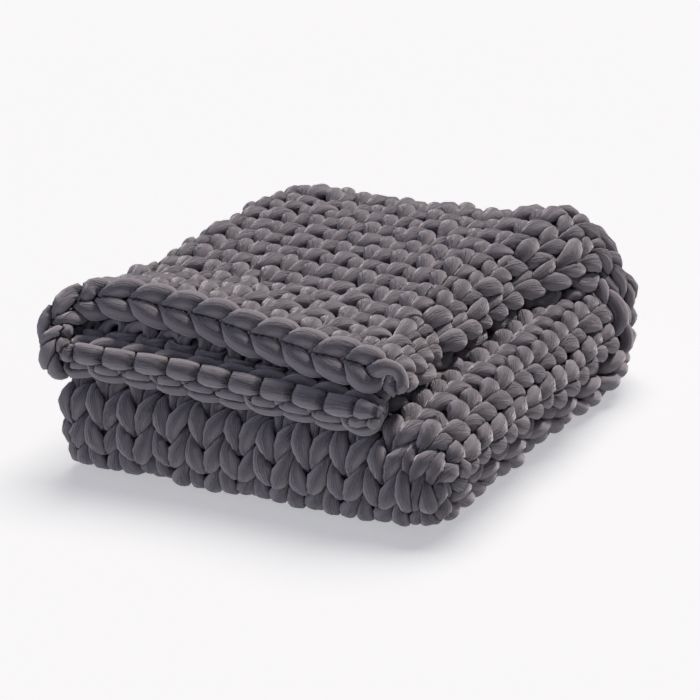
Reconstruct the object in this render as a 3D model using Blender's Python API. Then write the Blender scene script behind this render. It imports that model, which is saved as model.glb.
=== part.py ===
"""Weighted blanket, chunky hand-knitted, doubled lengthwise and folded in three.

One sheet. It is doubled with the fold on the left, so every layer is two plies, and the doubled
strip is then rolled flat: top run, back fold, bottom run, front fold, middle run.
+X is to the right along the front, +Y to the back, +Z up; the floor is Z = 0.
"""

import bpy
import bmesh
import numpy as np

# ---- sizes in metres -------------------------------------------------------------------------
PLY_THICKNESS = 0.028  # one ply of knitting, pressed by the plies above it
PLY_PITCH = 0.0325  # from the middle of one ply to the middle of the next
FRONT_FOLD_Y = 0.012  # axis of the front fold
BACK_FOLD_Y = 0.500  # axis of the back fold
BIND_OFF_Y = 0.482  # end of the middle run, inside the back fold
EDGE_BULGE = 0.008  # rounding of the edge chains
FOLD_PINCH = 0.34  # a ply is this much thinner round the left fold
CREST_RADIUS = 0.045  # turn of a ply over the right-hand crest
RIDGE_RISE = 0.005  # the middle run swells under its right-hand crest
RIDGE_X = 0.44
RIDGE_WIDTH = 0.04
RIDGE_COURSES = (37.0, 39.0)  # from none of the swell to all of it
UPPER_Z = (0.085, 0.165)  # heights between which the swells of the top come in
MOUTH_DEPTH = 0.008  # the left fold is this much deeper where it stands open at the cast-on end
MOUTH_TIP = 0.020  # and reaches this far forward

# swells of the top: name, height, y with none of it, y with all of it, x with none, x with all
SWELLS = (
    ("towards the back fold", 0.021, 0.05, 0.46, -0.2, -0.1),
    ("back right corner", 0.018, 0.38, 0.52, 0.30, 0.42),
    ("open left end of the cast-on edge", 0.017, 0.20, 0.0, 0.25, 0.0),
)

ORIGIN = (0.2581, 0.2722, 0.0)  # middle of the underside, from the left end of the front fold

# ---- counts ----------------------------------------------------------------------------------
WALES = 12.5  # columns of stitches on each ply, half of the sheet's 25
COURSES = 50.0  # rows of stitches from cast-on to bind-off
FOLD_WALES = 1.3  # wales from the left fold to the flat of a ply
MOUTH_WALES = 1.1  # more of them at the cast-on end
MOUTH_COURSES = 6.0  # length of that open end
TIP_WALES = 3.0  # part of the fold that reaches forward
TIP_COURSES = 5.0
LIP_COURSE = 1.6  # course of the inner ply that lies under the cast-on edge of the outer one
LIP_COURSES = 4.0  # courses over which the rise behind that edge dies out

# courses taken up by each run, on the outer and on the inner ply
# name, outer courses, inner courses
RUNS = (
    ("top", 12.5, 15.5),
    ("back", 7.0, 5.0),
    ("bottom", 13.0, 13.5),
    ("front", 4.5, 2.0),
    ("middle", 13.0, 14.0),
)

# the outer ply across its width, course by course
# course, left edge, wale at the crest, x of the crest, slope beyond it in degrees, length beyond it
OUTER = (
    (0.0, 0.014, 10.7, 0.384, 14.0, 0.048),
    (2.0, 0.015, 10.2, 0.371, 33.0, 0.054),
    (4.0, 0.016, 9.8, 0.358, 58.0, 0.062),
    (8.5, 0.018, 9.8, 0.360, 50.0, 0.072),
    (12.5, 0.020, 9.9, 0.390, 41.0, 0.080),
    (16.0, 0.020, 10.4, 0.434, 54.0, 0.070),
    (19.5, 0.020, 10.8, 0.446, 44.0, 0.060),
    (22.0, 0.021, 11.1, 0.446, 32.0, 0.048),
    (26.0, 0.022, 11.2, 0.446, 30.0, 0.044),
    (32.5, 0.028, 11.0, 0.446, 34.0, 0.046),
    (34.75, 0.030, 10.4, 0.452, 60.0, 0.042),
    (37.0, 0.026, 10.2, 0.452, 84.0, 0.074),
    (43.5, 0.022, 10.2, 0.452, 86.0, 0.074),
    (50.0, 0.022, 10.2, 0.446, 84.0, 0.070),
)

# the inner ply in the same columns
INNER = (
    (0.0, 0.014, 11.5, 0.406, 4.0, 0.022),
    (1.2, 0.014, 11.5, 0.380, 4.0, 0.022),
    (2.4, 0.014, 11.5, 0.346, 4.0, 0.022),
    (4.0, 0.015, 11.5, 0.336, 4.0, 0.022),
    (8.0, 0.016, 11.5, 0.336, 4.0, 0.022),
    (15.5, 0.020, 11.5, 0.372, 4.0, 0.024),
    (20.5, 0.020, 11.5, 0.392, 4.0, 0.024),
    (31.0, 0.026, 11.5, 0.418, 4.0, 0.024),
    (34.0, 0.026, 11.5, 0.396, 4.0, 0.020),
    (36.0, 0.026, 11.5, 0.396, 4.0, 0.020),
    (39.0, 0.024, 11.5, 0.418, 4.0, 0.024),
    (50.0, 0.022, 11.5, 0.418, 4.0, 0.024),
)

# the cast-on edge: wale, y where the outer ply starts, rise of both plies behind the edge
CAST_ON = (
    (0.0, 0.028, 0.000),
    (2.0, 0.030, 0.004),
    (4.0, 0.034, 0.016),
    (6.0, 0.032, 0.020),
    (8.0, 0.020, 0.014),
    (10.0, 0.006, 0.008),
    (12.5, -0.002, 0.006),
)

# angle by which the inner ply hangs over the front fold: wale, degrees
DROOP = (
    (0.0, 30.0),
    (3.0, 30.0),
    (6.0, 27.0),
    (9.0, 29.0),
    (11.0, 32.0),
    (12.5, 32.0),
)

# stations of the mesh: start, end, steps
WALE_STATIONS = ((0.0, 2.4, 7), (2.4, 9.2, 5), (9.2, 12.5, 8))
COURSE_STATIONS = (
    (0.0, 5.0, 9),
    (5.0, 12.5, 6),
    (12.5, 21.0, 14),
    (21.0, 31.5, 6),
    (31.5, 33.9, 5),
    (33.9, 36.1, 10),
    (36.1, 38.0, 4),
    (38.0, 50.0, 8),
)

FABRIC_COLOUR = (0.165, 0.150, 0.156, 1.0)

# ---- derived sizes ---------------------------------------------------------------------------
HALF_PITCH = PLY_PITCH / 2
BOTTOM_Z = PLY_THICKNESS / 2 + HALF_PITCH
MIDDLE_Z = BOTTOM_Z + 2 * PLY_PITCH
TOP_Z = MIDDLE_Z + 2 * PLY_PITCH
FRONT_RADIUS = (MIDDLE_Z - BOTTOM_Z) / 2
BACK_RADIUS = (TOP_Z - BOTTOM_Z) / 2


def ease(value, start, end):
    t = np.clip((value - start) / (end - start), 0.0, 1.0)
    return t * t * (3 - 2 * t)


def column(table, value, number):
    """Read a column of a table at any value of its first column, eased between the rows."""
    rows = np.array(table, float)
    place = np.interp(value, rows[:, 0], np.arange(len(rows)))
    base = np.clip(np.floor(place), 0, len(rows) - 2)
    eased = base + ease(place - base, 0.0, 1.0)
    return np.interp(eased, np.arange(len(rows)), rows[:, number])


def run_place(name, f, side, droop, edge):
    """Place in a run: y, z and the outward direction in the y-z plane; f goes from 0 to 1."""
    lift = HALF_PITCH * side
    level = np.zeros_like(f)
    if name == "top":
        inner = (1 - side) / 2
        radius = FRONT_RADIUS + 2 * PLY_PITCH + lift
        arc = droop * radius * inner
        start = edge + (FRONT_FOLD_Y - edge) * inner
        travel = f * (arc + BACK_FOLD_Y - start)
        turn = np.clip((arc - travel) / radius, 0.0, None)
        y = start + np.clip(travel - arc, 0.0, None) - radius * np.sin(turn)
        z = TOP_Z + lift - radius * (1 - np.cos(turn))
        return y, z, -np.sin(turn), np.cos(turn)
    if name == "back":
        turn = np.pi * f
        radius = BACK_RADIUS + lift
        y = BACK_FOLD_Y + radius * np.sin(turn)
        return y, BOTTOM_Z + BACK_RADIUS + radius * np.cos(turn), np.sin(turn), np.cos(turn)
    if name == "bottom":
        return BACK_FOLD_Y + (FRONT_FOLD_Y - BACK_FOLD_Y) * f, BOTTOM_Z - lift, level, level - 1
    if name == "front":
        turn = np.pi * f
        radius = FRONT_RADIUS + lift
        y = FRONT_FOLD_Y - radius * np.sin(turn)
        return y, BOTTOM_Z + FRONT_RADIUS - radius * np.cos(turn), -np.sin(turn), -np.cos(turn)
    return FRONT_FOLD_Y + (BIND_OFF_Y - FRONT_FOLD_Y) * f, MIDDLE_Z + lift, level, level + 1


def strip_place(course, side, droop, edge):
    """Follow all runs; side is +1 on the outer ply, -1 on the inner one."""
    inner = (1 - side) / 2
    start = np.zeros_like(course)
    result = None
    for name, outer_span, inner_span in RUNS:
        span = outer_span + (inner_span - outer_span) * inner
        here = run_place(name, (course - start) / span, side, droop, edge)
        if result is None:
            result = here
        else:
            inside = course > start
            result = tuple(np.where(inside, new, old) for new, old in zip(here, result))
        start = start + span
    return result


def sheet_place(wale, course):
    """Middle of the sheet; wales go from the inner selvedge (-) by the fold (0) to the outer (+)."""
    wale = np.asarray(wale, float) + 0.0 * np.asarray(course, float)
    course = np.asarray(course, float) + 0.0 * wale
    away = np.abs(wale)
    outer = wale > 0
    mouth = ease(course, MOUTH_COURSES, 0.0)
    fold = FOLD_WALES + MOUTH_WALES * mouth
    depth = HALF_PITCH + MOUTH_DEPTH * mouth
    turn = np.clip(wale / fold, -1.0, 1.0) * np.pi / 2
    side = np.sin(turn)
    left, crest, crest_x, slope, beyond = (
        np.where(outer, column(OUTER, course, n), column(INNER, course, n)) for n in range(1, 6)
    )
    slope = np.radians(slope)
    flat = left + depth + (away - fold) * (crest_x - left - depth) / (crest - fold)
    x = np.where(away < fold, left + depth * (1 - np.cos(turn)), flat)
    run = np.clip(away - crest, 0.0, None) * beyond / (WALES - crest)
    bend = np.minimum(run / CREST_RADIUS, slope)
    rest = np.clip(run - CREST_RADIUS * slope, 0.0, None)
    x = np.where(away > crest, crest_x + CREST_RADIUS * np.sin(bend) + rest * np.cos(bend), x)
    drop = CREST_RADIUS * (1 - np.cos(bend)) + rest * np.sin(bend)
    droop = np.radians(column(DROOP, away, 1))
    y, z, out_y, out_z = strip_place(course, side, droop, column(CAST_ON, away, 1))
    sense = np.where(outer, 1.0, -1.0)
    y = y - drop * out_y * sense
    z = z - drop * out_z * sense
    ridge = np.exp(-(((x - RIDGE_X) / RIDGE_WIDTH) ** 2))
    z = z + RIDGE_RISE * ridge * ease(course, *RIDGE_COURSES) * outer
    upper = ease(z, *UPPER_Z)
    for _, height, y_none, y_full, x_none, x_full in SWELLS:
        z = z + upper * height * ease(y, y_none, y_full) * ease(x, x_none, x_full)
    lip = np.where(outer, 0.0, LIP_COURSE)
    lifted = ease(course, lip - LIP_COURSE - 0.1, lip) * ease(course, lip + LIP_COURSES, lip)
    z = z + column(CAST_ON, away, 2) * lifted
    y = y - MOUTH_TIP * ease(away, TIP_WALES, 0.0) * ease(course, TIP_COURSES, 0.0)
    return np.stack([x, y, z], -1) - np.array(ORIGIN)


def sheet_normal(wale, course):
    step = 1e-3
    across = sheet_place(wale + step, course) - sheet_place(wale - step, course)
    along = sheet_place(wale, course + step) - sheet_place(wale, course - step)
    normal = np.cross(across, along)
    return normal / np.linalg.norm(normal, axis=-1, keepdims=True)


def stations(table, mirrored=False):
    values = [table[0][0]]
    for start, end, steps in table:
        values += [start + (end - start) * n / steps for n in range(1, steps + 1)]
    if mirrored:
        values = [-v for v in reversed(values[1:])] + values
    return np.array(values)


def fabric():
    material = bpy.data.materials.new("grey_cotton_tube_yarn")
    material.use_nodes = True
    shader = material.node_tree.nodes["Principled BSDF"]
    shader.inputs["Base Color"].default_value = FABRIC_COLOUR
    shader.inputs["Roughness"].default_value = 0.9
    shader.inputs["Metallic"].default_value = 0.0
    return material


def build_blanket():
    wales = stations(WALE_STATIONS, mirrored=True)
    courses = stations(COURSE_STATIONS)
    w, c = np.meshgrid(wales, courses, indexing="ij")
    inset = np.clip(c, 0.01, COURSES - 0.01)
    middle = sheet_place(w, c)
    normal = sheet_normal(np.clip(w, -WALES + 0.01, WALES - 0.01), inset)
    half = PLY_THICKNESS / 2 * (1 - FOLD_PINCH * (1 - ease(np.abs(w), 0.8, 3.0)))[..., None]
    faces_up = middle + normal * half
    faces_down = middle - normal * half
    mesh = bmesh.new()
    upper = [[mesh.verts.new(p) for p in line] for line in faces_up]
    lower = [[mesh.verts.new(p) for p in line] for line in faces_down]
    rows, cols = w.shape
    for a in range(rows - 1):
        for b in range(cols - 1):
            mesh.faces.new((upper[a][b], upper[a + 1][b], upper[a + 1][b + 1], upper[a][b + 1]))
            mesh.faces.new((lower[a][b + 1], lower[a + 1][b + 1], lower[a + 1][b], lower[a][b]))
    rim = [(a, 0) for a in range(rows)]
    rim += [(rows - 1, b) for b in range(1, cols)]
    rim += [(a, cols - 1) for a in range(rows - 2, -1, -1)]
    rim += [(0, b) for b in range(cols - 2, 0, -1)]
    chain = []
    for a, b in rim:
        inward = middle[min(max(a, 1), rows - 2)][min(max(b, 1), cols - 2)]
        outward = middle[a][b] - inward
        outward = outward / np.linalg.norm(outward)
        chain.append(mesh.verts.new(middle[a][b] + outward * EDGE_BULGE))
    for n, (a, b) in enumerate(rim):
        m = (n + 1) % len(rim)
        e, f = rim[m]
        mesh.faces.new((upper[a][b], upper[e][f], chain[m], chain[n]))
        mesh.faces.new((chain[n], chain[m], lower[e][f], lower[a][b]))
    bmesh.ops.recalc_face_normals(mesh, faces=mesh.faces[:])
    if mesh.calc_volume(signed=True) < 0:
        bmesh.ops.reverse_faces(mesh, faces=mesh.faces[:])
    bmesh.ops.triangulate(mesh, faces=mesh.faces[:])
    data = bpy.data.meshes.new("blanket")
    mesh.to_mesh(data)
    mesh.free()
    blanket = bpy.data.objects.new("blanket", data)
    bpy.context.scene.collection.objects.link(blanket)
    data.materials.append(fabric())
    return blanket


for old in list(bpy.data.objects):
    bpy.data.objects.remove(old, do_unlink=True)

build_blanket()
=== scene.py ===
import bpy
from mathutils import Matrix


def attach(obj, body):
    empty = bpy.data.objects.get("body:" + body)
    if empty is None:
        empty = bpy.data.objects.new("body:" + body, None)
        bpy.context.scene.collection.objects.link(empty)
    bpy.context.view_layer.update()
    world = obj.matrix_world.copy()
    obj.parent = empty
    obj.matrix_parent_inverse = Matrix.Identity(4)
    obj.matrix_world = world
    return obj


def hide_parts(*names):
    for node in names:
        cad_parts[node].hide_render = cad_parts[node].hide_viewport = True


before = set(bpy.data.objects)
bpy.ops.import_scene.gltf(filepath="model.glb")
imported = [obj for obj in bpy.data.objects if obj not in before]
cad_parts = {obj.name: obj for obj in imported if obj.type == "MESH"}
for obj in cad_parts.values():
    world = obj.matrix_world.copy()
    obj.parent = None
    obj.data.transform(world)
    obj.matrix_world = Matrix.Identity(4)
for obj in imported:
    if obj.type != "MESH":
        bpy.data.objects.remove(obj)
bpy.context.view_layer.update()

import math

import bpy
import numpy as np
from mathutils import Vector, kdtree

bl_info = {
    "name": "Chunky knitted blanket, folded",
    "version": (1, 0, 0),
    "blender": (4, 5, 0),
    "location": "3D View > Sidebar > Blanket",
    "description": "Knits a folded weighted blanket from one thick tube yarn",
    "category": "Object",
}

# ---- the folded sheet, as in the solid model; metres ------------------------------------------
PLY_THICKNESS = 0.028
PLY_PITCH = 0.0325
FRONT_FOLD_Y = 0.012
BACK_FOLD_Y = 0.500
BIND_OFF_Y = 0.482
CREST_RADIUS = 0.045
RIDGE_RISE = 0.005
RIDGE_X = 0.44
RIDGE_WIDTH = 0.04
RIDGE_COURSES = (37.0, 39.0)
UPPER_Z = (0.085, 0.165)
MOUTH_DEPTH = 0.008
MOUTH_TIP = 0.020
ORIGIN = (0.2581, 0.2722, 0.0)
WALES = 12.5
COURSES = 50
FOLD_WALES = 1.3
MOUTH_WALES = 1.1
MOUTH_COURSES = 6.0
TIP_WALES = 3.0
TIP_COURSES = 5.0
LIP_COURSE = 1.6
LIP_COURSES = 4.0

# swells of the top: name, height, y with none of it, y with all of it, x with none, x with all
SWELLS = (
    ("towards the back fold", 0.021, 0.05, 0.46, -0.2, -0.1),
    ("back right corner", 0.018, 0.38, 0.52, 0.30, 0.42),
    ("open left end of the cast-on edge", 0.017, 0.20, 0.0, 0.25, 0.0),
)

# name, outer courses, inner courses
RUNS = (
    ("top", 12.5, 15.5),
    ("back", 7.0, 5.0),
    ("bottom", 13.0, 13.5),
    ("front", 4.5, 2.0),
    ("middle", 13.0, 14.0),
)

# course, left edge, wale at the crest, x of the crest, slope beyond it in degrees, length beyond it
OUTER = (
    (0.0, 0.014, 10.7, 0.384, 14.0, 0.048),
    (2.0, 0.015, 10.2, 0.371, 33.0, 0.054),
    (4.0, 0.016, 9.8, 0.358, 58.0, 0.062),
    (8.5, 0.018, 9.8, 0.360, 50.0, 0.072),
    (12.5, 0.020, 9.9, 0.390, 41.0, 0.080),
    (16.0, 0.020, 10.4, 0.434, 54.0, 0.070),
    (19.5, 0.020, 10.8, 0.446, 44.0, 0.060),
    (22.0, 0.021, 11.1, 0.446, 32.0, 0.048),
    (26.0, 0.022, 11.2, 0.446, 30.0, 0.044),
    (32.5, 0.028, 11.0, 0.446, 34.0, 0.046),
    (34.75, 0.030, 10.4, 0.452, 60.0, 0.042),
    (37.0, 0.026, 10.2, 0.452, 84.0, 0.074),
    (43.5, 0.022, 10.2, 0.452, 86.0, 0.074),
    (50.0, 0.022, 10.2, 0.446, 84.0, 0.070),
)

# the inner ply in the same columns
INNER = (
    (0.0, 0.014, 11.5, 0.406, 4.0, 0.022),
    (1.2, 0.014, 11.5, 0.380, 4.0, 0.022),
    (2.4, 0.014, 11.5, 0.346, 4.0, 0.022),
    (4.0, 0.015, 11.5, 0.336, 4.0, 0.022),
    (8.0, 0.016, 11.5, 0.336, 4.0, 0.022),
    (15.5, 0.020, 11.5, 0.372, 4.0, 0.024),
    (20.5, 0.020, 11.5, 0.392, 4.0, 0.024),
    (31.0, 0.026, 11.5, 0.418, 4.0, 0.024),
    (34.0, 0.026, 11.5, 0.396, 4.0, 0.020),
    (36.0, 0.026, 11.5, 0.396, 4.0, 0.020),
    (39.0, 0.024, 11.5, 0.418, 4.0, 0.024),
    (50.0, 0.022, 11.5, 0.418, 4.0, 0.024),
)

# the cast-on edge: wale, y where the outer ply starts, rise of both plies behind the edge
CAST_ON = (
    (0.0, 0.028, 0.000),
    (2.0, 0.030, 0.004),
    (4.0, 0.034, 0.016),
    (6.0, 0.032, 0.020),
    (8.0, 0.020, 0.014),
    (10.0, 0.006, 0.008),
    (12.5, -0.002, 0.006),
)

# wale, degrees by which the inner ply hangs over the front fold
DROOP = (
    (0.0, 30.0),
    (3.0, 30.0),
    (6.0, 27.0),
    (9.0, 29.0),
    (11.0, 32.0),
    (12.5, 32.0),
)

HALF_PITCH = PLY_PITCH / 2
BOTTOM_Z = PLY_THICKNESS / 2 + HALF_PITCH
MIDDLE_Z = BOTTOM_Z + 2 * PLY_PITCH
TOP_Z = MIDDLE_Z + 2 * PLY_PITCH
FRONT_RADIUS = (MIDDLE_Z - BOTTOM_Z) / 2
BACK_RADIUS = (TOP_Z - BOTTOM_Z) / 2


def ease(value, start, end):
    t = np.clip((value - start) / (end - start), 0.0, 1.0)
    return t * t * (3 - 2 * t)


def unit(vectors):
    return vectors / np.linalg.norm(vectors, axis=-1, keepdims=True)


def column(table, value, number):
    """Read a column of a table at any value of its first column, eased between the rows."""
    rows = np.array(table, float)
    place = np.interp(value, rows[:, 0], np.arange(len(rows)))
    base = np.clip(np.floor(place), 0, len(rows) - 2)
    eased = base + ease(place - base, 0.0, 1.0)
    return np.interp(eased, np.arange(len(rows)), rows[:, number])


def run_place(name, f, side, droop, edge):
    """Place in a run: y, z and the outward direction in the y-z plane; f goes from 0 to 1."""
    lift = HALF_PITCH * side
    level = np.zeros_like(f)
    if name == "top":
        inner = (1 - side) / 2
        radius = FRONT_RADIUS + 2 * PLY_PITCH + lift
        arc = droop * radius * inner
        start = edge + (FRONT_FOLD_Y - edge) * inner
        travel = f * (arc + BACK_FOLD_Y - start)
        turn = np.clip((arc - travel) / radius, 0.0, None)
        y = start + np.clip(travel - arc, 0.0, None) - radius * np.sin(turn)
        z = TOP_Z + lift - radius * (1 - np.cos(turn))
        return y, z, -np.sin(turn), np.cos(turn)
    if name == "back":
        turn = np.pi * f
        radius = BACK_RADIUS + lift
        y = BACK_FOLD_Y + radius * np.sin(turn)
        return y, BOTTOM_Z + BACK_RADIUS + radius * np.cos(turn), np.sin(turn), np.cos(turn)
    if name == "bottom":
        return BACK_FOLD_Y + (FRONT_FOLD_Y - BACK_FOLD_Y) * f, BOTTOM_Z - lift, level, level - 1
    if name == "front":
        turn = np.pi * f
        radius = FRONT_RADIUS + lift
        y = FRONT_FOLD_Y - radius * np.sin(turn)
        return y, BOTTOM_Z + FRONT_RADIUS - radius * np.cos(turn), -np.sin(turn), -np.cos(turn)
    return FRONT_FOLD_Y + (BIND_OFF_Y - FRONT_FOLD_Y) * f, MIDDLE_Z + lift, level, level + 1


def strip_place(course, side, droop, edge):
    """Follow all runs; side is +1 on the outer ply, -1 on the inner one."""
    inner = (1 - side) / 2
    start = np.zeros_like(course)
    result = None
    for name, outer_span, inner_span in RUNS:
        span = outer_span + (inner_span - outer_span) * inner
        here = run_place(name, (course - start) / span, side, droop, edge)
        if result is None:
            result = here
        else:
            inside = course > start
            result = tuple(np.where(inside, new, old) for new, old in zip(here, result))
        start = start + span
    return result


def sheet_place(wale, course):
    """Middle of the sheet; wales go from the inner selvedge (-) by the fold (0) to the outer (+)."""
    wale, course = np.broadcast_arrays(np.asarray(wale, float), np.asarray(course, float))
    away = np.abs(wale)
    outer = wale > 0
    mouth = ease(course, MOUTH_COURSES, 0.0)
    fold = FOLD_WALES + MOUTH_WALES * mouth
    depth = HALF_PITCH + MOUTH_DEPTH * mouth
    turn = np.clip(wale / fold, -1.0, 1.0) * np.pi / 2
    side = np.sin(turn)
    left, crest, crest_x, slope, beyond = (
        np.where(outer, column(OUTER, course, n), column(INNER, course, n)) for n in range(1, 6)
    )
    slope = np.radians(slope)
    flat = left + depth + (away - fold) * (crest_x - left - depth) / (crest - fold)
    x = np.where(away < fold, left + depth * (1 - np.cos(turn)), flat)
    run = np.clip(away - crest, 0.0, None) * beyond / (WALES - crest)
    bend = np.minimum(run / CREST_RADIUS, slope)
    rest = np.clip(run - CREST_RADIUS * slope, 0.0, None)
    x = np.where(away > crest, crest_x + CREST_RADIUS * np.sin(bend) + rest * np.cos(bend), x)
    drop = CREST_RADIUS * (1 - np.cos(bend)) + rest * np.sin(bend)
    droop = np.radians(column(DROOP, away, 1))
    y, z, out_y, out_z = strip_place(course, side, droop, column(CAST_ON, away, 1))
    sense = np.where(outer, 1.0, -1.0)
    y = y - drop * out_y * sense
    z = z - drop * out_z * sense
    ridge = np.exp(-(((x - RIDGE_X) / RIDGE_WIDTH) ** 2))
    z = z + RIDGE_RISE * ridge * ease(course, *RIDGE_COURSES) * outer
    upper = ease(z, *UPPER_Z)
    for _, height, y_none, y_full, x_none, x_full in SWELLS:
        z = z + upper * height * ease(y, y_none, y_full) * ease(x, x_none, x_full)
    lip = np.where(outer, 0.0, LIP_COURSE)
    lifted = ease(course, lip - LIP_COURSE - 0.1, lip) * ease(course, lip + LIP_COURSES, lip)
    z = z + column(CAST_ON, away, 2) * lifted
    y = y - MOUTH_TIP * ease(away, TIP_WALES, 0.0) * ease(course, TIP_COURSES, 0.0)
    return np.stack([x, y, z], -1) - np.array(ORIGIN)


def sheet_frame(wale, course):
    """Places on the middle of the sheet, and the unit normals towards its knit side."""
    step = 1e-3
    across = sheet_place(wale + step, course) - sheet_place(wale - step, course)
    along = sheet_place(wale, course + step) - sheet_place(wale, course - step)
    return sheet_place(wale, course), unit(np.cross(across, along))


# ---- jersey of the yarn; millimetres ----------------------------------------------------------
JERSEY = "Cotton jersey tube yarn"
PATCH_MM = 90.0  # size of the broad changes of shade
CREASE_LENGTH_MM = 34.0
CREASES_AROUND = 3.2
CREASE_DEPTH_MM = 10.0  # drawn deeper than it is, so that it shows from 3 m
PAINTED_SHADE_WEIGHT = 0.95  # how dark the painted shade makes the pressed sides of the yarn, where yarn presses on yarn; 1 is the full shade colour
PRESSED_FROM = 0.07  # share of its radius that the yarn loses before its painted shade and deeper creases begin
PRESSED_GAIN = 4.2
CREASE_SHARPNESS = 0.6  # less than 1 narrows the creases
CREASE_LOOSE = 0.25  # depth of the creases where the yarn is free, as a share of the full depth
JERSEY_MM = 1.4
JERSEY_DEPTH_MM = 0.12

# ---- lights and camera: degrees, millimetres for the lens and metres for the rest -------------
# name, where the light comes from, how wide its source is in degrees, tint, what it lights
LIGHTS = (
    ("key", (0.40, 0.85, 1.15), 9.0, "#fff8f2", "blanket"),
    ("front", (-0.4, -1.4, 0.3), 70.0, "#e8ebff", "blanket"),
    ("backdrop", (-0.05, 0.55, 1.25), 45.0, "#fffaf2", "floor"),
)
SKY_TINT = "#e4e6ff"
GLOW_TINT = "#f0f1f4"
FLOOR_SIZE = 30.0
CAMERA_AZIMUTH = 27.0
CAMERA_ELEVATION = 19.0
CAMERA_DISTANCE = 2.899
LENS = 126.7
SENSOR = 36.0
VIEW_RIGHT = 0.3318  # from the near left corner of the pile to the middle of the view
VIEW_UP = 0.1271

# ---- stitches ---------------------------------------------------------------------------------
SHOWN_SAMPLES = 24  # points on a stitch that can be seen
HIDDEN_SAMPLES = 14  # and on one inside the pile
HIDDEN_WALE = -2.0  # the inner ply is hidden from here on, but for its flap
FLAP_ROWS = 7  # rows of the inner ply seen under the cast-on edge
FLAP_WALE = -1.0  # where the flap starts, at the lengthwise fold
LOOSE_WALE = 10.2  # the stitches beyond this one, by the outer selvedge, are looser
LOOSENESS = 1.5
LEAF_TILT = -0.06  # radians by which a leg is highest after its middle
LEAF_FLAT = 0.6  # how long a leg stays high before it dives
LEAF_TAPER = 0.44  # yarn is this much thinner at the heads of the loops
LEAF_POINT = 0.75  # less than 1 makes the legs more pointed
TURN_SAMPLES = 7  # points where the yarn turns into the next row
TURN_OUT = 0.32  # how far that turn stands out at the selvedge, in wales
TURN_HEIGHT = 0.5  # and how far it comes up from the purl side
ROW_GROUPS = 5  # pieces that the rows are split into

# how uneven a stitch is in wale, course, height and thickness: all of it together, and its sway
OFF_WHOLE = (0.045, 0.060, 0.22, 0.05)
OFF_SWAY = (0.035, 0.055, 0.25, 0.05)

# ---- edge chains ------------------------------------------------------------------------------
# one link: along the edge in wales, across and outwards in yarn radii
CHAIN_LINK = (
    (0.00, 0.00, -0.8),
    (0.22, 0.28, 0.35),
    (0.62, 0.95, 0.75),
    (1.08, 1.15, 0.30),
    (1.36, 0.55, -0.35),
    (1.42, 0.00, -0.50),
    (1.36, -0.55, -0.35),
    (1.08, -1.15, 0.30),
    (0.62, -0.95, 0.75),
    (0.22, -0.28, 0.35),
    (0.05, 0.00, -0.60),
    (0.45, 0.00, -1.30),
)
CHAIN_LAST = 6  # points of the last link that are made; the tail is drawn in after them
CHAIN_TAIL = (WALES + 0.1, 0.0, -1.8)
CHAIN_STEPS = 3  # points made of each point of a link
CHAIN_THICKNESS = 0.95  # of the chain's yarn and of a link across, as a share of the rows' yarn
CHAIN_DEPTH = 0.9  # of a link, likewise
CHAIN_LIFT = 0.002  # metres
CHAIN_AWAY = 0.05  # courses over which the way out of the sheet is measured
CHAIN_END_WALES = 0.9  # the yarn thins over this length at both ends
CHAIN_END_THINNER = 0.4

# turn of the edge chains towards the knit side: wale, degrees at the cast-on and at the bind-off,
# and how far the cast-on chain is tucked in
CHAIN_TURN = (
    (-12.5, 110.0, 20.0, 0.016),
    (-3.0, 108.0, 20.0, 0.015),
    (-0.6, 60.0, 10.0, 0.002),
    (1.0, 40.0, 0.0, 0.000),
    (4.0, 62.0, 0.0, 0.000),
    (12.5, 52.0, 0.0, 0.000),
)

# name, course where the chain lies, way out of the sheet, its column in CHAIN_TURN, share of the tuck
EDGE_CHAINS = (
    ("cast_on_chain", -0.42, -1, 1, 1.0),
    ("bind_off_chain", COURSES + 0.42, 1, 2, 0.0),
)

# ---- yarn; metres -----------------------------------------------------------------------------
SIDES = 14
FLATTENED = 0.82  # yarn across the ply, as a share of its free thickness
WIDENED = 1.08  # and along it
NEAR_RADII = 2.05  # yarn this near is felt
OWN_LENGTH = 0.030  # but not the yarn's own next stretch of this length
CONTACT_SHARPNESS = 7.0  # of the edge between the free and the pressed round of the yarn
LEAST_RADIUS = 0.002
FLOOR_GAP = 0.0004


def row_path(prefs):
    """Yarn of all rows in sheet coordinates: wale, course, height, thickness, and its row."""
    rng = np.random.default_rng(prefs.seed)
    stretches = []
    for row in range(COURSES):
        line = []
        for stitch in np.arange(-WALES, WALES):
            shown = stitch > HIDDEN_WALE or row < FLAP_ROWS
            loose = (row < FLAP_ROWS and stitch < FLAP_WALE) or stitch > LOOSE_WALE
            count = SHOWN_SAMPLES if shown else HIDDEN_SAMPLES
            t = np.arange(count) / count * 2 * np.pi
            wale = stitch + t / (2 * np.pi) + prefs.lean * np.sin(2 * t)
            course = row + 0.5 - prefs.loop_height * np.cos(t)
            leg = -np.cos(2 * (t - LEAF_TILT * np.sin(t)))
            height = np.tanh(LEAF_FLAT * leg) / np.tanh(LEAF_FLAT)
            thickness = 1 - LEAF_TAPER * np.abs(np.cos(t)) ** LEAF_POINT
            shift = rng.normal(0, prefs.unevenness * (LOOSENESS if loose else 1.0), 8)
            sway = np.sin(t)[:, None] * OFF_SWAY * shift[1::2]
            off = (OFF_WHOLE * shift[0::2] + sway) * np.sin(t / 2)[:, None]
            stitch_path = np.stack([wale, course, height, thickness], -1) + off
            line.append(np.column_stack([stitch_path, np.full(count, row)]))
        line = np.concatenate(line)
        stretches.append(line[::-1] if row % 2 else line)
        if row < COURSES - 1:
            selvedge = WALES if row % 2 == 0 else -WALES
            stretches.append(turn_path(prefs, row, selvedge))
    return np.concatenate(stretches)


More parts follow.
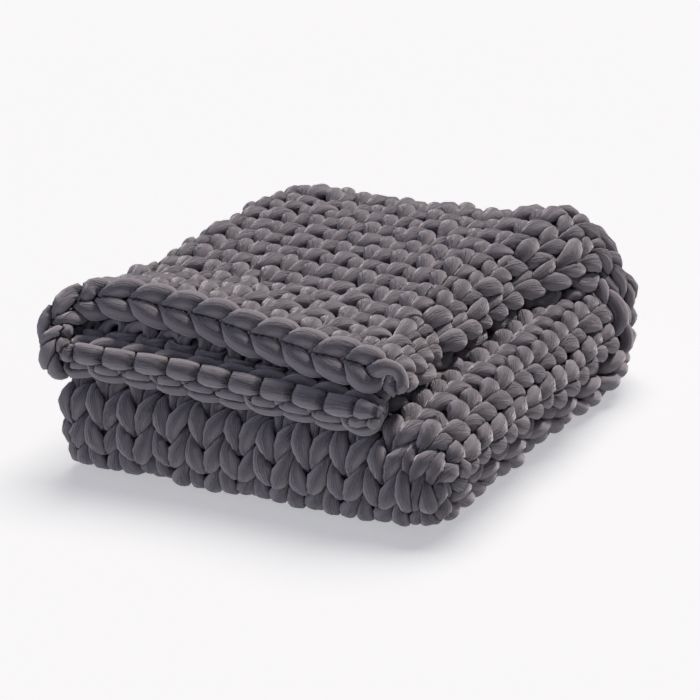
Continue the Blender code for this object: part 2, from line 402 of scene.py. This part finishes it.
def turn_path(prefs, row, selvedge):
    """The yarn's turn at a selvedge into the next row, in the columns of row_path."""
    a = np.linspace(0, np.pi, TURN_SAMPLES + 2)[1:-1]
    wale = selvedge + math.copysign(TURN_OUT, selvedge) * np.sin(a)
    course = row + 1 - prefs.loop_height - 0.5 * np.cos(a)
    height = -1 + TURN_HEIGHT * np.sin(a)
    return np.stack([wale, course, height, np.ones_like(a), np.full_like(a, row)], -1)


def spline(points, steps):
    """Points along a smooth line through the given ones."""
    p = np.concatenate([[2 * points[0] - points[1]], points, [2 * points[-1] - points[-2]]])
    t = (np.arange(steps) / steps)[:, None, None]
    a, b, c, d = p[:-3], p[1:-2], p[2:-1], p[3:]
    square = (2 * a - 5 * b + 4 * c - d) * t**2
    cube = (3 * b - a - 3 * c + d) * t**3
    line = 0.5 * (2 * b + (c - a) * t + square + cube)
    return line.transpose(1, 0, 2).reshape(-1, points.shape[1])


class Yarn:
    """Centre line of a length of yarn in space, with its thickness and facing at each point."""

    def __init__(self, centre, facing, radius):
        self.centre = centre
        self.facing = facing
        self.radius = radius
        step = np.linalg.norm(np.diff(centre, axis=0), axis=1)
        self.length = np.concatenate([[0], np.cumsum(step)])


def row_yarn(prefs):
    """The one yarn of all rows, and the row of each of its points."""
    wale, course, height, thickness, row = row_path(prefs).T
    place, normal = sheet_frame(wale, course)
    centre = place + normal * (prefs.relief * height)[:, None]
    return Yarn(centre, normal, prefs.yarn_radius * thickness), row


def chain_yarn(prefs, course, way_out, turn_column, tucked):
    """The chain along one edge, turned towards the knit side and tucked in as its table says."""
    link = np.array(CHAIN_LINK)
    links = [link + (stitch, 0, 0) for stitch in np.arange(-WALES, WALES)]
    links[-1] = links[-1][:CHAIN_LAST]
    wale, across, outward = spline(np.concatenate(links + [[CHAIN_TAIL]]), CHAIN_STEPS).T
    place, normal = sheet_frame(wale, np.full(len(wale), course))
    away = unit(sheet_place(wale, np.full(len(wale), course + way_out * CHAIN_AWAY)) - place)
    turn = np.radians(column(CHAIN_TURN, wale, turn_column))[:, None]
    facing = np.cos(turn) * away + np.sin(turn) * normal
    sideways = np.cos(turn) * normal - np.sin(turn) * away
    place = place - tucked * column(CHAIN_TURN, wale, 3)[:, None] * (away + 0.5 * normal)
    radius = prefs.yarn_radius
    centre = place + sideways * (across * radius * CHAIN_THICKNESS)[:, None]
    centre = centre + facing * (outward * radius * CHAIN_DEPTH + CHAIN_LIFT)[:, None]
    thinner = 1 - CHAIN_END_THINNER * ease(np.abs(wale), WALES - CHAIN_END_WALES, WALES)
    return Yarn(centre, facing, radius * CHAIN_THICKNESS * thinner)


def all_yarn(prefs):
    """The yarn of the rows, then that of each edge chain; and the row of each point of the rows."""
    rows, row = row_yarn(prefs)
    return [rows] + [chain_yarn(prefs, *chain[1:]) for chain in EDGE_CHAINS], row


def pressed_rings(yarns, number):
    """Rays round one yarn and its reach on each, shortened where it presses on yarn or the floor."""
    yarn = yarns[number]
    centre = np.concatenate([y.centre for y in yarns])
    owner = np.concatenate([np.full(len(y.centre), n) for n, y in enumerate(yarns)])
    length = np.concatenate([y.length for y in yarns])
    free = np.concatenate([y.radius for y in yarns])
    tree = kdtree.KDTree(len(centre))
    for n, place in enumerate(centre):
        tree.insert(place, n)
    tree.balance()

    angles = np.arange(SIDES) / SIDES * 2 * np.pi
    shape = 1 / np.hypot(np.cos(angles) / FLATTENED, np.sin(angles) / WIDENED)
    tangent = unit(np.gradient(yarn.centre, axis=0))
    side = unit(np.cross(tangent, yarn.facing))
    up = np.cross(side, tangent)
    rays = np.cos(angles)[None, :, None] * up[:, None, :]
    rays = rays + np.sin(angles)[None, :, None] * side[:, None, :]
    reach = np.empty((len(yarn.centre), SIDES))
    for k, (place, radius) in enumerate(zip(yarn.centre, yarn.radius)):
        near = np.array([n for _, n, _ in tree.find_range(place, NEAR_RADII * radius)])
        other = (owner[near] != number) | (np.abs(length[near] - yarn.length[k]) > OWN_LENGTH)
        near = near[other]
        press = (radius * shape) ** -CONTACT_SHARPNESS
        if len(near):
            gap = centre[near] - place
            share = radius / (radius + free[near])
            ahead = rays[k] @ gap.T
            plane = share * (gap * gap).sum(1)[None, :] / np.maximum(ahead, 1e-6)
            plane = np.where(ahead > 1e-6, plane, 1.0)
            press = press + ((plane + 1e-5) ** -CONTACT_SHARPNESS).max(1)
        down = -rays[k][:, 2]
        to_floor = np.where(down > 1e-3, place[2] / np.maximum(down, 1e-3), 1.0)
        to_floor = np.maximum(to_floor, LEAST_RADIUS)
        reach[k] = np.minimum(press ** (-1 / CONTACT_SHARPNESS), to_floor)
    return rays, reach


def tube_mesh(name, yarn, rays, reach, first, end):
    """One closed tube round a yarn between two of its points, with its UV map and its pinch."""
    count = end - first
    ring = yarn.centre[first:end, None, :] + rays[first:end] * reach[first:end, :, None]
    ring[..., 2] = np.maximum(ring[..., 2], FLOOR_GAP)
    vertices = np.concatenate([ring.reshape(-1, 3), yarn.centre[[first, end - 1]]])
    pinch = 1 - reach[first:end] / yarn.radius[first:end, None]
    pinch = np.concatenate([pinch.reshape(-1), [0, 0]])

    i, j = np.meshgrid(np.arange(count - 1), np.arange(SIDES), indexing="ij")
    corners = ((i, j), (i, j + 1), (i + 1, j + 1), (i + 1, j))
    quads = np.stack([a * SIDES + b % SIDES for a, b in corners], -1).reshape(-1, 4)
    along = yarn.length[first:end]
    quad_uv = np.stack([np.stack([along[a], b / SIDES], -1) for a, b in corners], 2).reshape(-1, 2)
    near_cap, far_cap = count * SIDES, count * SIDES + 1
    last = (count - 1) * SIDES
    caps = []
    for side in range(SIDES):
        following = (side + 1) % SIDES
        caps.append((near_cap, following, side))
        caps.append((far_cap, last + side, last + following))
    caps = np.array(caps)

    mesh = bpy.data.meshes.new(name)
    mesh.vertices.add(len(vertices))
    mesh.vertices.foreach_set("co", vertices.astype(np.float32).ravel())
    loops = np.concatenate([quads.ravel(), caps.ravel()])
    mesh.loops.add(len(loops))
    mesh.loops.foreach_set("vertex_index", loops.astype(np.int32))
    starts = np.concatenate([np.arange(len(quads)) * 4, len(quads) * 4 + np.arange(len(caps)) * 3])
    mesh.polygons.add(len(starts))
    mesh.polygons.foreach_set("loop_start", starts.astype(np.int32))
    mesh.update(calc_edges=True)
    uv = np.concatenate([quad_uv, np.zeros((caps.size, 2))])
    mesh.uv_layers.new(name="along_yarn").data.foreach_set("uv", uv.astype(np.float32).ravel())
    attribute = mesh.attributes.new("pinch", "FLOAT", "POINT")
    attribute.data.foreach_set("value", pinch.astype(np.float32))
    mesh.shade_smooth()
    piece = bpy.data.objects.new(name, mesh)
    bpy.context.scene.collection.objects.link(piece)
    return piece


def finish_piece(piece, prefs):
    """Give a knitted piece its yarn and say what it stands for."""
    material = bpy.data.materials.get(JERSEY) or jersey_material(prefs)
    piece.data.materials.append(material)
    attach(piece, "root")
    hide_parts("blanket")


def linear(code):
    """An sRGB hex colour as linear RGBA."""
    parts = [int(code[n : n + 2], 16) / 255 for n in (1, 3, 5)]
    return [c / 12.92 if c <= 0.04045 else ((c + 0.055) / 1.055) ** 2.4 for c in parts] + [1.0]


def add_node(tree, kind, settings=None, links=None):
    """Add a node, set its settings and sockets, and link its inputs."""
    node = tree.nodes.new(kind)
    for key, value in (settings or {}).items():
        if isinstance(key, str) and hasattr(node, key):
            setattr(node, key, value)
        else:
            node.inputs[key].default_value = value
    for key, source in (links or {}).items():
        if isinstance(source, bpy.types.NodeSocket):
            tree.links.new(source, node.inputs[key])
        else:
            node.inputs[key].default_value = source
    return node


def maths(tree, operation, first, second=0.0, clamp=False):
    """Work out a value from two sockets or numbers; gives the socket that holds it."""
    settings = {"operation": operation, "use_clamp": clamp}
    return add_node(tree, "ShaderNodeMath", settings, {0: first, 1: second}).outputs[0]


def around_yarn(tree, along, around):
    """Coordinates without a seam round the yarn: repeats per metre of length and folds round it."""
    uv = add_node(tree, "ShaderNodeUVMap", {"uv_map": "along_yarn"})
    split = add_node(tree, "ShaderNodeSeparateXYZ", links={0: uv.outputs[0]})
    angle = maths(tree, "MULTIPLY", split.outputs[1], 2 * math.pi)
    cosine = maths(tree, "MULTIPLY", maths(tree, "COSINE", angle), around)
    sine = maths(tree, "MULTIPLY", maths(tree, "SINE", angle), around)
    length = maths(tree, "MULTIPLY", split.outputs[0], along)
    return add_node(tree, "ShaderNodeCombineXYZ", links={0: length, 1: cosine, 2: sine}).outputs[0]


def jersey_material(prefs):
    """Tube yarn of stretch cotton jersey: lengthwise creases, soft pile, and painted shade where it
    presses on other yarn.
    """
    material = bpy.data.materials.new(JERSEY)
    material.use_nodes = True
    tree = material.node_tree
    shader = tree.nodes["Principled BSDF"]
    pinch = add_node(tree, "ShaderNodeAttribute", {"attribute_name": "pinch"}).outputs["Fac"]
    squeezed = maths(tree, "SUBTRACT", pinch, PRESSED_FROM)
    pressed = maths(tree, "MULTIPLY", squeezed, PRESSED_GAIN, clamp=True)
    place = add_node(tree, "ShaderNodeTexCoord").outputs["Object"]

    # broad changes of shade along the yarn and over the pile
    patch = add_node(
        tree,
        "ShaderNodeTexNoise",
        {"Scale": 1000 / PATCH_MM, "Detail": 2.0},
        {"Vector": place},
    )
    shade = add_node(
        tree,
        "ShaderNodeMix",
        {"data_type": "RGBA", 6: prefs.yarn_dark, 7: prefs.yarn_light},
        {0: patch.outputs["Fac"]},
    )
    # painted shade: the colour goes towards the dark shade colour where the yarn presses on other yarn,
    # for the dark between the stitches
    deep = add_node(
        tree,
        "ShaderNodeMix",
        {"data_type": "RGBA", 7: prefs.yarn_painted_shade},
        {0: maths(tree, "MULTIPLY", pressed, PAINTED_SHADE_WEIGHT), 6: shade.outputs[2]},
    )
    tree.links.new(deep.outputs[2], shader.inputs["Base Color"])

    # creases that run along the yarn, deeper where it is squeezed
    folds = add_node(
        tree,
        "ShaderNodeTexNoise",
        {"Scale": 1.0, "Detail": 3.0, "Roughness": 0.55, "Distortion": 0.4},
        {"Vector": around_yarn(tree, 1000 / CREASE_LENGTH_MM, CREASES_AROUND)},
    )
    crease = maths(tree, "ABSOLUTE", maths(tree, "SUBTRACT", folds.outputs["Fac"], 0.5))
    crease = maths(tree, "MULTIPLY", crease, 4.0, clamp=True)
    crease = maths(tree, "POWER", crease, CREASE_SHARPNESS)
    depth = maths(tree, "MULTIPLY", pressed, 1 - CREASE_LOOSE)
    depth = maths(tree, "ADD", depth, CREASE_LOOSE)
    creased = add_node(
        tree,
        "ShaderNodeBump",
        {"Distance": CREASE_DEPTH_MM / 1000},
        {"Height": crease, "Strength": depth},
    )

    # the small stitches of the jersey itself, which give it a dry, matt face
    rib = add_node(
        tree,
        "ShaderNodeTexNoise",
        {"Scale": 1000 / JERSEY_MM, "Detail": 1.0},
        {"Vector": place},
    )
    fine = add_node(
        tree,
        "ShaderNodeBump",
        {"Distance": JERSEY_DEPTH_MM / 1000, "Strength": 0.6},
        {"Height": rib.outputs["Fac"], "Normal": creased.outputs[0]},
    )
    tree.links.new(fine.outputs[0], shader.inputs["Normal"])

    # brushed cotton: no gloss, and a pale bloom at the edges from its pile
    shader.inputs["Roughness"].default_value = 0.88
    shader.inputs["Specular IOR Level"].default_value = 0.25
    shader.inputs["Sheen Weight"].default_value = 0.55
    shader.inputs["Sheen Roughness"].default_value = 0.45
    shader.inputs["Sheen Tint"].default_value = linear("#e6e2ea")
    return material


def paper_material(prefs):
    """White paper without gloss, lit a little from below, so that the shadow on it stays pale."""
    material = bpy.data.materials.new("White paper backdrop")
    material.use_nodes = True
    shader = material.node_tree.nodes["Principled BSDF"]
    shader.inputs["Base Color"].default_value = prefs.paper
    shader.inputs["Roughness"].default_value = 0.9
    shader.inputs["Specular IOR Level"].default_value = 0.0
    shader.inputs["Emission Color"].default_value = linear(GLOW_TINT)
    shader.inputs["Emission Strength"].default_value = prefs.paper_glow
    return material


def add_sun(name, place, angle, tint, strength, lit):
    """A broad distant light that lights only the given pieces."""
    light = bpy.data.lights.new(name, "SUN")
    light.energy = strength
    light.angle = math.radians(angle)
    light.color = linear(tint)[:3]
    lamp = bpy.data.objects.new(name, light)
    bpy.context.scene.collection.objects.link(lamp)
    lamp.location = place
    lamp.rotation_mode = "QUATERNION"
    lamp.rotation_quaternion = Vector(place).to_track_quat("Z", "Y")
    group = bpy.data.collections.new("lit by " + name)
    for piece in lit:
        group.objects.link(piece)
    lamp.light_linking.receiver_collection = group


def add_camera():
    """A long lens that looks down on the near right corner of the pile."""
    data = bpy.data.cameras.new("camera")
    data.sensor_width = SENSOR
    data.lens = LENS
    camera = bpy.data.objects.new("camera", data)
    bpy.context.scene.collection.objects.link(camera)
    azimuth, elevation = math.radians(CAMERA_AZIMUTH), math.radians(CAMERA_ELEVATION)
    level = math.cos(elevation)
    back = Vector((math.sin(azimuth) * level, -math.cos(azimuth) * level, math.sin(elevation)))
    right = Vector((math.cos(azimuth), math.sin(azimuth), 0.0))
    up = back.cross(right)
    corner = Vector((-ORIGIN[0], -ORIGIN[1], 0.0))
    camera.location = corner + right * VIEW_RIGHT + up * VIEW_UP + back * CAMERA_DISTANCE
    camera.rotation_mode = "QUATERNION"
    camera.rotation_quaternion = (-back).to_track_quat("-Z", "Y")
    bpy.context.scene.camera = camera


def colour(name, description, code):
    return bpy.props.FloatVectorProperty(
        name=name, description=description, default=linear(code), subtype="COLOR", size=4, min=0, max=1
    )


class KnittingSettings(bpy.types.PropertyGroup):
    """Sizes and colours of the yarn and its stitches"""

    yarn_dark: colour("Yarn, dark", "Darker shade of the yarn", "#6c676c")
    yarn_light: colour("Yarn, light", "Lighter shade of the yarn", "#7b767a")
    # colour of the painted shade between stitches that press together
    yarn_painted_shade: colour("Yarn, painted shade", "Shade where the yarn is pressed together", "#1d1b20")
    yarn_radius: bpy.props.FloatProperty(
        name="Yarn radius",
        description="Radius of the free yarn",
        default=0.0125,
        unit="LENGTH",
    )
    relief: bpy.props.FloatProperty(
        name="Relief",
        description="Height of the legs above the middle of the ply",
        default=0.0090,
        unit="LENGTH",
    )
    lean: bpy.props.FloatProperty(
        name="Lean",
        description="How far the legs of a stitch lean, in wales",
        default=0.25,
    )
    loop_height: bpy.props.FloatProperty(
        name="Loop height",
        description="Half the height of a loop, in courses",
        default=0.86,
    )
    unevenness: bpy.props.FloatProperty(
        name="Unevenness",
        description="Scale of the small irregularities of the stitches",
        default=0.95,
    )
    seed: bpy.props.IntProperty(
        name="Seed",
        description="Seed of the small irregularities",
        default=4,
    )


class StageSettings(bpy.types.PropertyGroup):
    """Backdrop and strengths of the lights"""

    paper: colour("Paper", "Backdrop", "#f6f6f7")
    paper_glow: bpy.props.FloatProperty(
        name="Paper glow",
        description="Light that comes through the paper from below",
        default=0.475,
    )
    key: bpy.props.FloatProperty(
        name="Key",
        description="Strength of the key light",
        default=5.2,
    )
    front: bpy.props.FloatProperty(
        name="Front",
        description="Strength of the soft light from the front",
        default=1.5,
    )
    backdrop: bpy.props.FloatProperty(
        name="Backdrop",
        description="Strength of the light on the backdrop",
        default=1.66,
    )
    fill: bpy.props.FloatProperty(
        name="Fill",
        description="Strength of the even light",
        default=0.13,
    )


class BLANKET_OT_rows(bpy.types.Operator):
    """Knit all rows to and fro from one yarn"""

    bl_idname = "blanket.rows"
    bl_label = "Rows"

    def execute(self, context):
        prefs = context.scene.blanket_knitting
        yarns, row = all_yarn(prefs)
        rays, reach = pressed_rings(yarns, 0)
        borders = np.linspace(0, COURSES, ROW_GROUPS + 1).round().astype(int)
        for start, stop in zip(borders[:-1], borders[1:]):
            held = np.nonzero((row >= start) & (row < stop))[0]
            end = min(held[-1] + 2, len(row))
            name = f"rows_{start + 1:02d}_to_{stop:02d}"
            finish_piece(tube_mesh(name, yarns[0], rays, reach, held[0], end), prefs)
        return {"FINISHED"}


class BLANKET_OT_edges(bpy.types.Operator):
    """Make the chains of the cast-on and bind-off edges"""

    bl_idname = "blanket.edges"
    bl_label = "Edges"

    def execute(self, context):
        prefs = context.scene.blanket_knitting
        yarns, _ = all_yarn(prefs)
        for number, (name, *_) in enumerate(EDGE_CHAINS, start=1):
            rays, reach = pressed_rings(yarns, number)
            piece = tube_mesh(name, yarns[number], rays, reach, 0, len(yarns[number].centre))
            finish_piece(piece, prefs)
        return {"FINISHED"}


class BLANKET_OT_stage(bpy.types.Operator):
    """Make the floor, lights and camera"""

    bl_idname = "blanket.stage"
    bl_label = "Stage"

    def execute(self, context):
        scene = context.scene
        prefs = scene.blanket_stage
        pieces = [piece for piece in scene.objects if piece.type == "MESH"]
        bpy.ops.object.select_all(action="DESELECT")
        bpy.ops.mesh.primitive_plane_add(size=FLOOR_SIZE, location=(0, 0, 0))
        floor = context.active_object
        floor.name = "floor"
        floor.data.materials.append(paper_material(prefs))
        world = bpy.data.worlds.new("studio")
        scene.world = world
        world.use_nodes = True
        background = world.node_tree.nodes["Background"]
        background.inputs["Color"].default_value = linear(SKY_TINT)
        background.inputs["Strength"].default_value = prefs.fill
        for name, place, angle, tint, target in LIGHTS:
            lit = [floor] if target == "floor" else pieces
            add_sun(name, place, angle, tint, getattr(prefs, name), lit)
        add_camera()
        scene.view_settings.view_transform = "Standard"
        return {"FINISHED"}


class BLANKET_PT_panel(bpy.types.Panel):
    """Sizes, colours and steps of the blanket"""

    bl_idname = "BLANKET_PT_panel"
    bl_label = "Blanket"
    bl_space_type = "VIEW_3D"
    bl_region_type = "UI"
    bl_category = "Blanket"

    def draw(self, context):
        scene = context.scene
        for settings in (scene.blanket_knitting, scene.blanket_stage):
            for name in type(settings).__annotations__:
                self.layout.prop(settings, name)
        for step in (BLANKET_OT_rows, BLANKET_OT_edges, BLANKET_OT_stage):
            self.layout.operator(step.bl_idname)


CLASSES = (
    KnittingSettings,
    StageSettings,
    BLANKET_OT_rows,
    BLANKET_OT_edges,
    BLANKET_OT_stage,
    BLANKET_PT_panel,
)


def register():
    for kind in CLASSES:
        bpy.utils.register_class(kind)
    bpy.types.Scene.blanket_knitting = bpy.props.PointerProperty(type=KnittingSettings)
    bpy.types.Scene.blanket_stage = bpy.props.PointerProperty(type=StageSettings)


def unregister():
    del bpy.types.Scene.blanket_stage
    del bpy.types.Scene.blanket_knitting
    for kind in reversed(CLASSES):
        bpy.utils.unregister_class(kind)


def main():
    register()
    bpy.ops.blanket.rows()
    bpy.ops.blanket.edges()
    bpy.ops.blanket.stage()


if __name__ == "__main__":
    main()
